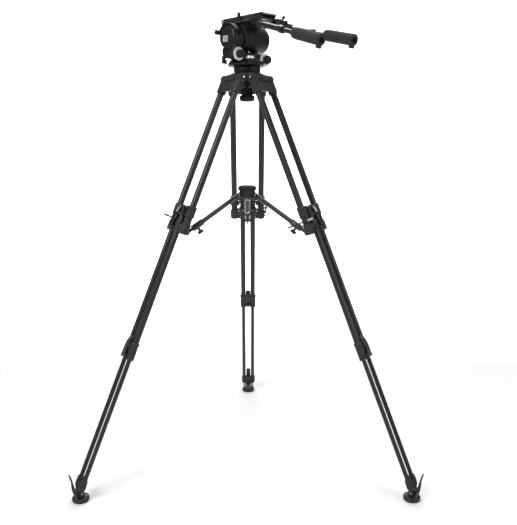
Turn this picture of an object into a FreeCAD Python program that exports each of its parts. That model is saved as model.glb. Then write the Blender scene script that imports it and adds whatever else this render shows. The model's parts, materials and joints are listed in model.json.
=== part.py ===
"""Video tripod with a fluid head: twin-tube legs in two telescopic stages, mid-level spreader,
100 mm bowl with a levelling half ball, and a fluid pan and tilt head with two pan handles."""
import FreeCAD, Part
import math
import os
import re
import Sketcher

DIMENSIONS = {
    # stance
    "pivot_height": 1500, "pivot_reach": 58.2, "leg_angle": 23.3, "model_shift": 175.0,
    # leg tubes
    "upper_spread": 56.45, "upper_radius": 12, "middle_spread": 21.7, "middle_radius": 11,
    "middle_offset": 9.3, "lower_radius": 8, "tube_wall": 1.3, "bond_gap": 0.05, "slip_gap": 0.06,
    # yoke
    "socket_radius": 17, "socket_length": 57, "knuckle_radius": 15.5, "knuckle_half": 17.3, "pivot_bore": 4.05,
    # stations down the leg, from the pivot
    "upper_start": 12, "clamp_top": 497, "clamp_bottom": 600, "middle_top": 503, "lower_clamp_top": 1004,
    "lower_clamp_bottom": 1090, "lower_top": 1044, "foot_top": 1537, "foot_pivot": 1600,
    "arm_pivot": 590, "arm_pivot_depth": 40,
    # pad
    "pad_radius": 31, "pad_ear_gap": 12, "pad_ear_width": 5,
    # crown
    "ball_radius": 50, "ball_height": 1536, "rim_height": 1519, "lug_half": 38.6,
    # spreader
    "hub_radius": 30, "hub_pin_reach": 25, "hub_pin_height": 1080, "arm_radius": 9, "rod_radius": 6,
    "collar_radius": 12, "collar_length": 45,
    # head
    "head_turn": -47, "tilt_height": 1640, "drum_radius": 50, "drum_start": -49.7, "base_height": 1544.3,
    "axle_radius": 12, "cap_radius": 44, "cap_start": -72.2, "platform_bottom": 1690.3, "platform_top": 1705,
    "plate_top": 1719,
    # pan handles
    "rosette_reach": 146, "rosette_side": 72, "rosette_height": 1670, "left_drop": 16.3, "right_drop": 13.3,
    "handle_splay": 1.5, "bar_radius": 10, "inner_bar_radius": 8, "grip_radius": 20, "grip_start": 169,
    "grip_end": 298,
}

DOC = FreeCAD.newDocument("tripod_with_fluid_head")
SHEET = DOC.addObject("Spreadsheet::Sheet", "Dims")
for line, (alias, number) in enumerate(DIMENSIONS.items(), start=1):
    SHEET.set(f"A{line}", alias)
    SHEET.set(f"B{line}", str(number))
    SHEET.setAlias(f"B{line}", alias)
DOC.recompute()

X = FreeCAD.Vector(1, 0, 0)
Y = FreeCAD.Vector(0, 1, 0)
Z = FreeCAD.Vector(0, 0, 1)
LEGS = {"back": 90, "left": 210, "right": 330}
PARTS = []


def size(text):
    """The value of an expression of the sheet's dimensions."""
    return float(SHEET.evalExpression(str(text)))


def bind(item, name, text):
    """Tie one property of an object to an expression of the sheet's dimensions."""
    words = re.sub(r"[a-z_]+", lambda word: "Dims." + word[0] if word[0] in DIMENSIONS else word[0], str(text))
    item.setExpression(name, words)


def at(*place):
    return FreeCAD.Vector(*[size(value) for value in place])


def facing(direction):
    """Rotation that takes +Z to a direction."""
    return FreeCAD.Rotation(Z, FreeCAD.Vector(*direction))


def rod(radius, length, base=(0, 0, 0), direction=(0, 0, 1)):
    """Solid cylinder from its base along a direction."""
    item = DOC.addObject("Part::Cylinder", "rod")
    bind(item, "Radius", radius)
    bind(item, "Height", length)
    item.Placement = FreeCAD.Placement(at(*base), facing(direction))
    return item


def ball(radius, centre):
    item = DOC.addObject("Part::Sphere", "ball")
    bind(item, "Radius", radius)
    item.Placement.Base = at(*centre)
    return item


def block(low, high, turn=None):
    """Box between two corners, each coordinate an expression."""
    item = DOC.addObject("Part::Box", "block")
    for name, start, end in zip(("Length", "Width", "Height"), low, high):
        bind(item, name, f"({end}) - ({start})")
    item.Placement = FreeCAD.Placement(at(*low), turn or FreeCAD.Rotation())
    return item


def fuse(*items):
    item = DOC.addObject("Part::MultiFuse", "fuse")
    item.Shapes = list(items)
    item.Refine = True
    return item


def cut(base, *tools):
    item = DOC.addObject("Part::Cut", "cut")
    item.Base = base
    item.Tool = tools[0] if len(tools) == 1 else fuse(*tools)
    item.Refine = True
    return item


def group(*items):
    """Separate solids that make one node."""
    item = DOC.addObject("Part::Compound", "group")
    item.Links = list(items)
    return item


def arc_middle(start, end, radius):
    """Middle of the arc between two points; a positive radius bulges to the right of the way."""
    chord = end - start
    sag = abs(radius) - math.sqrt(radius ** 2 - (chord.Length / 2) ** 2)
    side = FreeCAD.Vector(chord.y, -chord.x, 0).normalize()
    return (start + end) * 0.5 + side * math.copysign(sag, radius)


def outlined(body, role, outline):
    """Closed sketch in one of the body's origin planes. A point's third value is the radius of the
    arc that arrives at it; every point's place is tied to the sheet."""
    sketch = body.newObject("Sketcher::SketchObject", "outline")
    plane = next(item for item in body.Origin.OriginFeatures if item.Role == role)
    sketch.AttachmentSupport = [(plane, "")]
    sketch.MapMode = "FlatFace"
    points = [FreeCAD.Vector(size(point[0]), size(point[1]), 0) for point in outline]
    count = len(points)
    for index in range(count):
        arrival = outline[(index + 1) % count]
        start = points[index]
        end = points[(index + 1) % count]
        if len(arrival) == 3:
            edge = Part.Arc(start, arc_middle(start, end, size(arrival[2])), end)
        else:
            edge = Part.LineSegment(start, end)
        sketch.addGeometry(edge, False)
    ends = []
    for index in range(count):
        edge = sketch.Geometry[index]
        first = sketch.getPoint(index, 1).distanceToPoint(points[index]) < 1e-6
        ends.append((1, 2) if first else (2, 1))
    for index in range(count):
        after = (index + 1) % count
        sketch.addConstraint(Sketcher.Constraint("Coincident", index, ends[index][1], after, ends[after][0]))
    for index, point in enumerate(outline):
        for kind, text, value in (("DistanceX", point[0], points[index].x), ("DistanceY", point[1], points[index].y)):
            number = sketch.addConstraint(Sketcher.Constraint(kind, -1, 1, index, ends[index][0], value))
            if re.search("[a-z]", str(text)):
                words = re.sub(r"[a-z_]+", lambda word: "Dims." + word[0], str(text))
                sketch.setExpression(f"Constraints[{number}]", words)
        if len(point) == 3:
            before = (index - 1) % count
            sketch.addConstraint(Sketcher.Constraint("Radius", before, abs(size(point[2]))))
    return sketch


def turned(outline):
    """Body turned about its own Z axis from an outline of (radius, height) points."""
    body = DOC.addObject("PartDesign::Body", "turned")
    sketch = outlined(body, "XZ_Plane", outline)
    turn = body.newObject("PartDesign::Revolution", "turn")
    turn.Profile = sketch
    turn.ReferenceAxis = (sketch, ["V_Axis"])
    turn.Angle = 360
    return body


def pressed(role, outline, thickness):
    """Body padded evenly to both sides of one of its origin planes."""
    body = DOC.addObject("PartDesign::Body", "pressed")
    pad = body.newObject("PartDesign::Pad", "pad")
    pad.Profile = outlined(body, role, outline)
    bind(pad, "Length", thickness)
    pad.Midplane = True
    return body


def moved(item, base=(0, 0, 0), turn=None):
    item.Placement = FreeCAD.Placement(at(*base), turn or FreeCAD.Rotation())
    return item


def part(label, item, place):
    """Name a sub-part and put it where it belongs; its own placement comes first."""
    item.Label = label
    item.Placement = place.multiply(item.Placement)
    PARTS.append(item)


def centre_place():
    return FreeCAD.Placement(at(0, "-model_shift", 0), FreeCAD.Rotation())


def leg_place(azimuth):
    """Leg frame: origin at the pivot, +Z up the leg, +X outward, +Y along the pivot pin."""
    spin = FreeCAD.Placement(FreeCAD.Vector(), FreeCAD.Rotation(Z, azimuth))
    lean = FreeCAD.Placement(at("pivot_reach", 0, "pivot_height"), FreeCAD.Rotation(Y, -size("leg_angle")))
    return centre_place().multiply(spin).multiply(lean)


def head_place():
    """Head frame: origin on the floor under the pan axis, +X to the rear, +Y along the tilt axis."""
    return centre_place().multiply(FreeCAD.Placement(FreeCAD.Vector(), FreeCAD.Rotation(Z, size("head_turn"))))


def pair_of_tubes(spread, offset, radius, top, bottom):
    tubes = []
    for side in (-1, 1):
        centre = (offset, f"{side} * {spread}", f"-({bottom})")
        outer = rod(radius, f"{bottom} - ({top})", centre)
        inner = rod(f"{radius} - tube_wall", f"{bottom} - ({top}) + 2", (centre[0], centre[1], f"-({bottom}) - 1"))
        tubes.append(cut(outer, inner))
    return group(*tubes)


def yoke():
    """Two tube sockets with pivot knuckles, joined by an outer web."""
    solids = []
    holes = []
    for side in (-1, 1):
        across = f"{side} * upper_spread"
        solids.append(rod("socket_radius", "socket_length", (0, across, "-socket_length")))
        solids.append(rod("knuckle_radius", "2 * knuckle_half", (0, f"{across} - knuckle_half", 0), (0, 1, 0)))
        holes.append(rod("upper_radius + bond_gap", "socket_length", (0, across, "-socket_length - upper_start")))
        holes.append(rod("pivot_bore", "2 * socket_radius + 2", (0, f"{across} - socket_radius - 1", 0), (0, 1, 0)))
    solids.append(block((8, "-upper_spread", -57), (15, "upper_spread", -21)))
    return cut(fuse(*solids), *holes)


def mid_clamp():
    """Clamp at the foot of the upper tubes, with bores for the middle tubes and the arm bracket."""
    solids = []
    holes = []
    length = "clamp_bottom - clamp_top"
    for side in (-1, 1):
        upper = f"{side} * upper_spread"
        middle = f"{side} * middle_spread"
        solids.append(rod("upper_radius + 4.5", length, (0, upper, "-clamp_bottom")))
        solids.append(rod("middle_radius + 4.5", 56, ("middle_offset", middle, "-clamp_bottom")))
        holes.append(rod("upper_radius + bond_gap", f"{length} - 2", (0, upper, "-clamp_bottom + 2")))
        holes.append(rod("middle_radius + slip_gap", f"{length} + 2", ("middle_offset", middle, "-clamp_bottom - 1")))
        holes.append(rod(3.5, 60, (-20, f"{side} * 39", -585), (1, 0, 0)))
        solids.append(block((-46, f"{side} * 8.8 - 2.5", -600), (-6, f"{side} * 8.8 + 2.5", -578)))
        solids.append(block((20, f"{side} * 18 - 2", -598), (34, f"{side} * 18 + 2", -584)))
    solids.append(block((-9, "-upper_spread", -510), (11, "upper_spread", "-clamp_top")))
    solids.append(block((-9, "-upper_spread", -600), (15, "upper_spread", -546)))
    solids.append(block((-9, -4, -550), (3, 4, -500)))
    solids.append(rod(3, 18, (-40, -9, "-arm_pivot"), (0, 1, 0)))
    solids.append(rod(2.5, 36, (30, -18, -591), (0, 1, 0)))
    solids.append(rod(3.4, 24, (12, -76, -552), (0, 1, 0)))
    solids.append(rod(3.2, 24, (9, -74, -552), (1, 0, 0)))
    solids.append(rod(3, 76, (15, -74, -552.3), (-1, -0.22, 0)))
    return cut(fuse(*solids), *holes)


def cam_lever(top, bottom, width):
    """Banana-shaped lever on the outer side of a clamp, bored for its pin near the bottom."""
    outline = [(26, f"-{top}", 130), (33, f"-{top} + 1"), (35, f"-{bottom}", -90), (28, f"-{bottom} + 2")]
    lever = pressed("XZ_Plane", outline, width)
    boss = rod(4.3, width, (30, f"-({width}) / 2", f"-{bottom} + 7"), (0, 1, 0))
    bore = rod(2.56, 60, (30, -30, f"-{bottom} + 7"), (0, 1, 0))
    return cut(fuse(lever, boss), bore)


def lower_clamp():
    """Clamp at the foot of the middle tubes, with bores for the lower tubes."""
    solids = []
    holes = []
    height = "lower_clamp_bottom - lower_clamp_top"
    for side in (-1, 1):
        across = f"{side} * middle_spread"
        solids.append(rod("middle_radius + 3.5", height, ("middle_offset", across, "-lower_clamp_bottom")))
        holes.append(rod("middle_radius + bond_gap", height, ("middle_offset", across, "-lower_clamp_bottom + 8")))
        holes.append(rod("lower_radius + slip_gap", 20, ("middle_offset", across, "-lower_clamp_bottom - 1")))
        solids.append(block((15, f"{side} * 17 - 2", -1088), (34, f"{side} * 17 + 2", -1074)))
    solids.append(block(("middle_offset - 10", "-middle_spread", -1090), ("middle_offset + 10", "middle_spread", -1022)))
    holes.append(rod(4.5, 60, (-20, 0, -1070), (1, 0, 0)))
    solids.append(rod(2.5, 34, (30, -17, -1081), (0, 1, 0)))
    return cut(fuse(*solids), *holes)


def foot():
    """Casting that joins the lower tubes and carries the pad's pin."""
    shoulder = "middle_spread + lower_radius + 4"
    outline = [(f"-({shoulder})", "-foot_top"), (f"-({shoulder})", -1562), (-11, -1587), (-11, -1606),
               (11, -1606), (11, -1587), (shoulder, -1562), (shoulder, "-foot_top")]
    casting = pressed("YZ_Plane", outline, 24)
    moved(casting, ("middle_offset", 0, 0))
    holes = [rod("lower_radius + bond_gap", 30, ("middle_offset", f"{side} * middle_spread", -1566))
             for side in (-1, 1)]
    heel = rod(9, 22, (0, -11, "-foot_pivot"), (0, 1, 0))
    return cut(fuse(casting, heel), *holes, rod(3.05, 40, (0, -20, "-foot_pivot"), (0, 1, 0)))


def foot_place():
    """Reach and height of a foot's pin."""
    lean = math.radians(size("leg_angle"))
    down = size("foot_pivot")
    return size("pivot_reach") + down * math.sin(lean), size("pivot_height") - down * math.cos(lean)


def pad():
    """Rubber pad with two ears, the hinge pin and the pull strap."""
    disc = turned([(0, 0), (27, 0), ("pad_radius", 4, 4.2), ("pad_radius", 11), (26, 16, 5.2), (16, 18), (0, 18)])
    height = foot_place()[1]
    ears = []
    for side in (-1, 1):
        middle = f"{side} * (pad_ear_gap + pad_ear_width / 2)"
        ears.append(block((-9, f"{middle} - pad_ear_width / 2", 12), (9, f"{middle} + pad_ear_width / 2", height + 8)))
    pin = rod(3, 30, (0, -15, height), (0, 1, 0))
    strap = pressed("XZ_Plane", [(26, 8), (31, 4), (40, 60), (43, 106), (38, 106), (36, 62)], 16)
    return fuse(disc, *ears, pin, strap)


def arm_angle():
    """Rise of a spreader arm above the horizontal, from the leg to the hub, and its length."""
    lean = math.radians(size("leg_angle"))
    down = size("arm_pivot")
    inward = size("arm_pivot_depth")
    reach = size("pivot_reach") + down * math.sin(lean) - inward * math.cos(lean)
    height = size("pivot_height") - down * math.cos(lean) - inward * math.sin(lean)
    run = reach - size("hub_pin_reach")
    rise = size("hub_pin_height") - height
    return reach, height, math.degrees(math.atan2(rise, run)), math.hypot(rise, run)


def arm_place(azimuth):
    """Arm frame: origin at the leg's pin, +X along the arm to the hub, +Y along the pin."""
    reach, height, rise, _ = arm_angle()
    spin = FreeCAD.Placement(FreeCAD.Vector(), FreeCAD.Rotation(Z, azimuth))
    turn = FreeCAD.Rotation(Y, rise).multiply(FreeCAD.Rotation(Z, 180))
    tilt = FreeCAD.Placement(FreeCAD.Vector(reach, 0, height), turn)
    return centre_place().multiply(spin).multiply(tilt)


def spreader_rod():
    """Inner rod of a spreader arm, with the eye on the leg's pin."""
    eye = cut(rod(8, 11, (0, -5.5, 0), (0, 1, 0)), rod(3.05, 14, (0, -7, 0), (0, 1, 0)))
    bar = cut(rod("rod_radius", 196, (0, 0, 0), (1, 0, 0)), rod(7, 20, (0, -10, 0), (0, 1, 0)))
    return fuse(eye, bar)


def spreader_arm():
    """Outer tube of a spreader arm, with its locking collar, thumb screw and slotted hub tongue."""
    length = arm_angle()[3]
    start = 28
    end = length - 41
    tube = rod("arm_radius", end - start, (start, 0, 0), (1, 0, 0))
    collar = rod("collar_radius", "collar_length", (start, 0, 0), (1, 0, 0))
    thumb = fuse(rod(5, 20, (start + 20, 0, -8), (0, 0, -1)),
                 block((start + 9, -2.5, -34), (start + 31, 2.5, -22)))
    tongue = block((end - 2, -5, -7), (length + 6, 5, 7))
    slot = fuse(block((length - 14, -7, -4.2), (length, 7, 4.2)), rod(4.2, 14, (length, -7, 0), (0, 1, 0)),
                rod(4.2, 14, (length - 14, -7, 0), (0, 1, 0)))
    bore = rod("rod_radius + slip_gap", end - start - 6, (start - 1, 0, 0), (1, 0, 0))
    return cut(fuse(tube, collar, thumb, tongue), slot, bore)


def hub():
    """Spreader hub: domed cap, slotted body and a pin for each arm."""
    outline = [(0, 1109), (0, 1058), (22, 1058), ("hub_radius", 1064), ("hub_radius", 1098), (34.5, 1098),
               (33, 1103), (18, 1108)]
    slots = []
    pins = []
    for azimuth in LEGS.values():
        turn = FreeCAD.Rotation(Z, azimuth)
        for outer, top in ((40, 1095), (26, 1101.5)):
            slot = block((5, -5.4, 1050), (outer, 5.4, top))
            slot.Placement = FreeCAD.Placement(turn.multVec(at(5, -5.4, 1050)), turn)
            slots.append(slot)
        pin = rod(2.5, 16, (0, 0, 0))
        pin.Placement = FreeCAD.Placement(turn.multVec(at("hub_pin_reach", -8, "hub_pin_height")),
                                          turn.multiply(facing((0, 1, 0))))
        pins.append(pin)
    hook_bore = rod(1.6, 22, (0, -11, 1060.5), (0, 1, 0))
    hook_gap = block((-4.5, -4.3, 1050), (4.5, 4.3, 1066))
    return cut(fuse(cut(turned(outline), *slots), *pins), hook_gap, hook_bore)


def weight_hook():
    """Steel loop that hangs from the hub, with its pin."""
    half = 9.5
    pin = rod(1.55, 14, (0, -7, 1060.5), (0, 1, 0))
    eye = rod(3.6, 8, (0, -4, 1060.5), (0, 1, 0))
    stem = block((-3, -2, 1052), (3, 2, 1060))
    sides = [rod(2, 32, (side * half, 0, 1011)) for side in (-1, 1)]
    bows = []
    for height, turn in ((1011, -90), (1043, 90)):
        bow = DOC.addObject("Part::Torus", "bow")
        bow.Radius1 = half
        bow.Radius2 = 2
        bow.Angle3 = 180
        bow.Placement = FreeCAD.Placement(at(0, 0, height), FreeCAD.Rotation(X, turn))
        bows.append(bow)
    return fuse(pin, eye, stem, *sides, *bows)


def crown():
    """Casting that holds the bowl, with a lug for each leg."""
    seat = 0.3
    outline = [(30, 1488), (52, 1488), (56, 1500), (58, 1508), (62, 1514), (62, "rim_height - 2"),
               (60, "rim_height"), (30, "rim_height")]
    ring = turned(outline)
    lugs = []
    for azimuth in LEGS.values():
        turn = FreeCAD.Rotation(Z, azimuth)
        lug = block((0, 0, 0), ("pivot_reach - 30", "2 * lug_half", 32))
        lug.Placement = FreeCAD.Placement(turn.multVec(at(30, "-lug_half", 1484)), turn)
        lugs.append(lug)
        boss = rod("knuckle_radius + 0.5", "2 * lug_half", (0, 0, 0))
        boss.Placement = FreeCAD.Placement(turn.multVec(at("pivot_reach", "-lug_half", "pivot_height")),
                                           turn.multiply(facing((0, 1, 0))))
        lugs.append(boss)
    holes = [ball(f"ball_radius + {seat}", (0, 0, "ball_height")), rod(31, 60, (0, 0, 1450)),
             rod(45, 4, (0, 0, 1484))]
    for azimuth in LEGS.values():
        turn = FreeCAD.Rotation(Z, azimuth)
        bore = rod(4.02, 120, (0, 0, 0))
        bore.Placement = FreeCAD.Placement(turn.multVec(at("pivot_reach", -60, "pivot_height")),
                                           turn.multiply(facing((0, 1, 0))))
        holes.append(bore)
    return cut(fuse(ring, *lugs), *holes)


def pivot_bolts():
    """The six leg pivot bolts."""
    bolts = []
    for azimuth in LEGS.values():
        turn = FreeCAD.Rotation(Z, azimuth)
        for side in (-1, 1):
            shank = rod(4, 48, (0, 0, 27), (0, 0, 1))
            head = rod(8, 5, (0, 0, "upper_spread + knuckle_half + 0.2"), (0, 0, 1))
            socket = rod(3, 3, (0, 0, "upper_spread + knuckle_half + 3.2"), (0, 0, 1))
            bolt = cut(fuse(shank, head), socket)
            bolt.Placement = FreeCAD.Placement(turn.multVec(at("pivot_reach", 0, "pivot_height")),
                                               turn.multiply(facing((0, side, 0))))
            bolts.append(bolt)
    return group(*bolts)


def half_ball():
    """Levelling half ball with its flange and stud."""
    outline = [(0, 1544), (0, 1442), (5, 1442), (5, 1494), (26.5, 1494), ("ball_radius", "ball_height", "ball_radius"),
               ("ball_radius", 1542), (48, 1544)]
    return turned(outline)


def clamp_washer():
    """Cup washer under the bowl."""
    return turned([(15, 1473.5), (27, 1473.5), (38, 1480), (38, 1487), (15, 1487)])


def tie_down():
    """Tie-down nut: fluted upper part and rounded lower grip."""
    outline = [(5.06, 1469.5), (5.06, 1438), (0, 1438), (0, 1419), (18, 1419), (28.5, 1428, 14), (28.5, 1438),
               (26, 1441), (21, 1441), (21, 1467), (18, 1469.5)]
    flutes = [rod(2.2, 40, (30 * math.cos(math.radians(angle)), 30 * math.sin(math.radians(angle)), 1410))
              for angle in range(0, 360, 30)]
    return cut(turned(outline), *flutes)


def pan_housing():
    """Panning body: flared base, column for the tilt axle, and the saddle of the end cap."""
    base = turned([(0, "base_height"), (68, "base_height"), (72, 1549), (69, 1556), (56, 1575), (56, 1582),
                   (50, 1586), (0, 1586)])
    lip = pressed("XY_Plane", [(20, -58), (66, -40), (84, -14), (84, 14), (66, 40), (20, 58)], 11)
    moved(lip, (0, 0, 1551))
    column = fuse(block((-32, -70, 1578), (32, -52, "tilt_height")),
                  rod("cap_radius - 2", 20, (0, -72, "tilt_height"), (0, 1, 0)))
    saddle = pressed("XZ_Plane", [(-26, 1622), (-26, 1590), (-8, 1566, 25), (32, 1566), (32, 1622)], 46)
    moved(saddle, (0, -75, 0))
    shelf = block((44, 4, 1552), (62, 52, 1582))
    level_seat = rod(18.5, 9, (50, -32, 1556.5))
    level_pocket = rod(17.3, 30, (50, -32, 1565.5))
    knob_room = fuse(rod(22.4, 40, (62.1, 28, 1565), (1, 0, 0)), block((62.1, 5.6, 1540), (102.1, 50.4, 1565)))
    drum_room = rod("drum_radius + 0.4", 150, (0, "drum_start - 0.4", "tilt_height"), (0, 1, 0))
    cap_room = rod("cap_radius + 0.05", 60, (0, "cap_start - 59.7", "tilt_height"), (0, 1, 0))
    bore = rod("axle_radius + slip_gap", 92, (0, -82, "tilt_height"), (0, 1, 0))
    shaft_bores = [rod(2, 30, start, (1, 0, 0)) for start in ((14, -74, 1581), (40, 28, 1565))]
    outer = fuse(base, lip, column, saddle, shelf, level_seat)
    return cut(outer, drum_room, cap_room, bore, level_pocket, knob_room, *shaft_bores)


def tilt_drum():
    """Fluid drum with its axle; the platform is bolted on top."""
    drum = turned([(0, 0), ("drum_radius - 3", 0), ("drum_radius", 3), ("drum_radius", 14),
                   ("drum_radius - 1", 15), ("drum_radius - 1", 18), ("drum_radius", 19), ("drum_radius", 112),
                   ("drum_radius - 5", 122), ("drum_radius - 10", 125.5), (0, 125.5)])
    moved(drum, (0, "drum_start", "tilt_height"), facing((0, 1, 0)))
    axle = rod("axle_radius", 34, (0, -80, "tilt_height"), (0, 1, 0))
    bed = block((-34, -45, 1672), (34, 60, 1690))
    return fuse(drum, axle, bed)


def end_cap():
    """Cap over the axle's end, seated in the housing."""
    cap = turned([(0, 0), ("cap_radius", 0), ("cap_radius", 18), ("cap_radius - 4", 25), ("cap_radius - 10", 28),
                  (0, 28)])
    moved(cap, (0, "cap_start", "tilt_height"), facing((0, -1, 0)))
    return cut(cap, rod(20, 16, (0, -82, "tilt_height"), (0, 1, 0)))


def drag_knob(ring, grip, base):
    """Dial ring and fluted knob on a small shaft, facing the rear."""
    body = turned([(0, -14), (1.95, -14), (1.95, 0.4), (ring, 0.4), (ring, 8), (grip, 9), (grip, 24),
                   (f"{grip} - 2", 26), (0, 26)])
    return moved(body, base, facing((1, 0, 0)))


def pan_lock():
    """Pan lock: a stubby wing on a round boss."""
    boss = rod(9, 8, (-50.5, -54.5, 1560), (-0.66, -0.75, 0.0))
    wing = block((-64, -68, 1555), (-52, -60, 1582))
    return fuse(boss, wing)


def tilt_lock():
    """Tilt lock: a curved blade over the end cap, which turns about the tilt axis, with a round knob."""
    inner = size("cap_radius") + 0.4
    outer = inner + 4.1
    first, last = math.radians(20), math.radians(158)
    height = size("tilt_height")

    def point(radius, angle):
        return radius * math.cos(angle), height + radius * math.sin(angle)

    blade = pressed("XZ_Plane", [point(outer, first), (*point(outer, last), outer), point(inner, last),
                                 (*point(inner, first), -inner)], 24)
    moved(blade, (0, "cap_start - 14", 0))
    across, up = point(outer + 5, last)
    knob = rod(8.5, 22, (across, -108, up), (0, 1, 0))
    return fuse(blade, knob)


def platform():
    """Camera platform with the quick-release bed, the side bar and the two rosette arms."""
    bed = pressed("XZ_Plane", [(-96, 1698), (-88, "platform_bottom"), (100, "platform_bottom"), (117, 1697),
                               (117, 1702), (112, "platform_top"), (-92, "platform_top")], 72)
    solids = [bed, rod(6, 116, (-16, -57, 1690), (1, 0, 0)), block((-16, -63, "platform_bottom"), (-4, -36, 1700))]
    holes = [rod(3.06, 12, (8, -46, 1704), (0, 1, 0)), rod(5.6, 8, (-84, -44, 1705), (0, 1, 0))]
    for side in (-1, 1):
        plane = f"{side} * (rosette_side - 14)"
        solids.append(block((-94, f"{side} * 38.5 - 4.5", 1695), (86, f"{side} * 38.5 + 4.5", 1714)))
        solids.append(block((88, f"{side} * 48.5 - 14.5", 1676), (124, f"{side} * 48.5 + 14.5", 1702)))
        solids.append(block((110, f"{plane} - 5", 1662), (146, f"{plane} + 5", 1696)))
        solids.append(rod(17, 11.5, ("rosette_reach", f"{plane} - 5.75", "rosette_height"), (0, 1, 0)))
        holes.append(rod(4.06, 30, ("rosette_reach", f"{plane} - 15", "rosette_height"), (0, 1, 0)))
    return cut(fuse(*solids), *holes)


def camera_plate():
    """Sliding camera plate, tapered at both ends, with two slots for the camera screws."""
    plate = pressed("XZ_Plane", [(-104, 1708), (-98, "platform_top + 0.3"), (110, "platform_top + 0.3"),
                                 (120, 1712), (112, "plate_top"), (-100, "plate_top")], 66)
    holes = [rod(4, 30, (-22, 0, 1700)), rod(5.5, 30, (18, 0, 1700))]
    return cut(plate, *holes)


def camera_screws():
    """Quarter-inch and three-eighths camera screws, heads below, in the plate."""
    small = fuse(rod(3.175, 18, (-22, 0, 1708)), rod(3.95, 11, (-22, 0, 1708)))
    large = fuse(rod(4.7625, 20, (18, 0, 1708)), rod(5.45, 11, (18, 0, 1708)))
    return group(small, large)


def plate_lever():
    """Upright lever that clamps the camera plate."""
    shaft = rod(3, 9, (8, -44.5, 1704), (0, 1, 0))
    hub_disc = rod(8, 6, (8, -50, 1704), (0, 1, 0))
    blade = block((1.5, -50, 1704), (14.5, -45, 1728))
    return fuse(shaft, hub_disc, blade)


def release_button():
    """Safety button that lets the camera plate out."""
    return rod(5.5, 9.5, (-84, -50, 1705), (0, 1, 0))


def handle_direction(side):
    """Unit vector along a pan handle, away from its rosette."""
    drop = math.radians(size("left_drop" if side < 0 else "right_drop"))
    splay = math.radians(size("handle_splay"))
    level = math.cos(drop)
    return FreeCAD.Vector(math.cos(splay) * level, side * math.sin(splay) * level, -math.sin(drop))


def rosette_point(side, inward=0):
    """Point on a rosette's axis, some way inward from the pan handle's centre line."""
    return "rosette_reach", f"{side} * (rosette_side - {inward})", "rosette_height"


def handle_bar(side):
    """Clamp block on the rosette, its bolt and the outer tube of a pan handle."""
    along = handle_direction(side)
    start = at(*rosette_point(side))
    disc = rod(17, 12, rosette_point(side, 7.5), (0, side, 0))
    bolt = rod(4, 20, rosette_point(side, 21), (0, side, 0))
    knob = rod(8, 14, rosette_point(side), (0, side, 0))
    platform_room = rod(25, 20, rosette_point(side, 27.7), (0, side, 0))
    tube = cut(rod("bar_radius", 115, start, along), platform_room)
    collar = rod("bar_radius + 3", 18, start + along * 100, along)
    bore = rod("inner_bar_radius + slip_gap", 130, start + along * 12, along)
    return cut(fuse(disc, bolt, knob, tube, collar), bore)


def handle_grip(side):
    """Inner tube of a pan handle with its rubber grip."""
    along = handle_direction(side)
    start = at(*rosette_point(side))
    grip = turned([(0, "grip_start"), (15, "grip_start"), ("grip_radius - 3", "grip_start + 4"),
                   ("grip_radius - 0.5", "grip_start + 24"), ("grip_radius - 0.5", "grip_end - 22"),
                   ("grip_radius", "grip_end - 4"), ("grip_radius - 2", "grip_end"), (9, "grip_end"),
                   (9, "grip_end - 20"), (0, "grip_end - 20")])
    grip.Placement = FreeCAD.Placement(start, facing(along))
    inner = rod("inner_bar_radius", "grip_start - 18", start + along * 20, along)
    return fuse(grip, inner)


def bubble_level():
    """Round bubble level in its ring."""
    return moved(turned([(0, 0), (15, 0), (17, 3), (17, 8), (14, 10), (0, 10)]), (50, -32, 1565.5))


def build():
    centre = centre_place()
    head = head_place()
    for leg, azimuth in LEGS.items():
        place = leg_place(azimuth)
        part(f"{leg}_leg_yoke", yoke(), place)
        part(f"{leg}_upper_tubes", pair_of_tubes("upper_spread", 0, "upper_radius", "upper_start", 597.9), place)
        part(f"{leg}_mid_clamp", mid_clamp(), place)
        part(f"{leg}_mid_lever", cam_lever(506, 598, 31), place)
        part(f"{leg}_middle_tubes", pair_of_tubes("middle_spread", "middle_offset", "middle_radius", "middle_top",
                                                  1081.9), place)
        part(f"{leg}_lower_clamp", lower_clamp(), place)
        part(f"{leg}_lower_lever", cam_lever(1002, 1088, 29), place)
        part(f"{leg}_lower_tubes", pair_of_tubes("middle_spread", "middle_offset", "lower_radius", "lower_top",
                                                 1565.9), place)
        part(f"{leg}_foot", foot(), place)
        spin = FreeCAD.Rotation(Z, azimuth)
        stand = spin.multVec(at(foot_place()[0], 0, 0))
        part(f"{leg}_pad", pad(), centre.multiply(FreeCAD.Placement(stand, spin)))
        part(f"{leg}_spreader_rod", spreader_rod(), arm_place(azimuth))
        part(f"{leg}_spreader_arm", spreader_arm(), arm_place(azimuth))
    part("crown", crown(), centre)
    part("leg_pivot_bolts", pivot_bolts(), centre)
    part("half_ball", half_ball(), centre)
    part("clamp_washer", clamp_washer(), centre)
    part("tie_down_knob", tie_down(), centre)
    part("spreader_hub", hub(), centre)
    part("weight_hook", weight_hook(), centre)
    part("pan_housing", pan_housing(), head)
    part("bubble_level", bubble_level(), head)
    part("tilt_drum", tilt_drum(), head)
    part("drum_end_cap", end_cap(), head)
    part("tilt_drag_knob", drag_knob(22, 18, (32, -74, 1581)), head)
    part("pan_drag_knob", drag_knob(21.5, 17.5, (62, 28, 1565)), head)
    part("pan_lock_lever", pan_lock(), head)
    part("tilt_lock_lever", tilt_lock(), head)
    part("platform", platform(), head)
    part("camera_plate", camera_plate(), head)
    part("camera_screws", camera_screws(), head)
    part("plate_lock_lever", plate_lever(), head)
    part("release_button", release_button(), head)
    for name, side in (("left", -1), ("right", 1)):
        part(f"{name}_handle_bar", handle_bar(side), head)
        part(f"{name}_handle_grip", handle_grip(side), head)


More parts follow.
